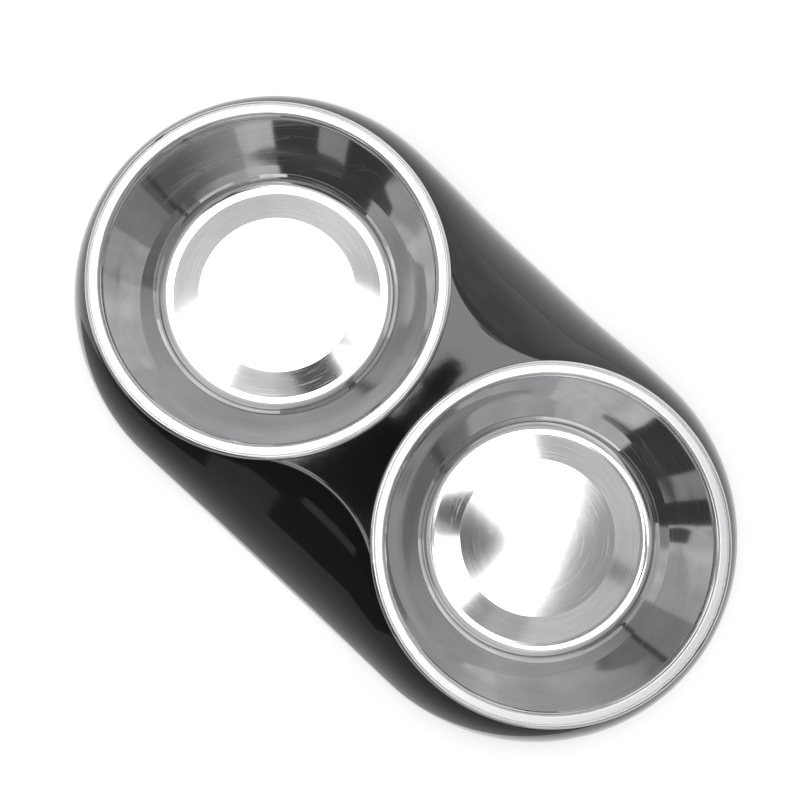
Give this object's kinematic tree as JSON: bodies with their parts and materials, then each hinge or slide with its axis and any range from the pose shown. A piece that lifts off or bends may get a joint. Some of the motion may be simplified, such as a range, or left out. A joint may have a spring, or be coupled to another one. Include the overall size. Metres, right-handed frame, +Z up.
{
  "type": "double pet bowl",
  "caption": "Low moulded stand with a waisted deck that holds round steel feeding bowls side by side, each lifting out, on rubber feet.",
  "frame": {"origin": "on the ground, under the middle of the stand", "axes": "+X along the stand, towards the right bowl; +Y across the stand; +Z up"},
  "size_m": [0.2892, 0.1592, 0.05],
  "materials": {
    "stand_plastic": "high-gloss black moulded plastic",
    "bowl_steel": "mirror-polished wall and rim with a turned, brushed floor",
    "foot_rubber": "matt black rubber"
  },
  "bodies": {
    "base": {"stand": "stand_plastic", "foot_1": "foot_rubber", "foot_2": "foot_rubber", "foot_3": "foot_rubber", "foot_4": "foot_rubber", "foot_5": "foot_rubber", "foot_6": "foot_rubber"},
    "left_bowl": {"bowl_left": "bowl_steel"},
    "right_bowl": {"bowl_right": "bowl_steel"}
  },
  "joints": [
    {"name": "left_bowl_lift", "type": "slide", "parent": "base", "child": "left_bowl", "axis": [0, 0, 1], "range_m": [0, 0.06]},
    {"name": "right_bowl_lift", "type": "slide", "parent": "base", "child": "right_bowl", "axis": [0, 0, 1], "range_m": [0, 0.06]}
  ]
}
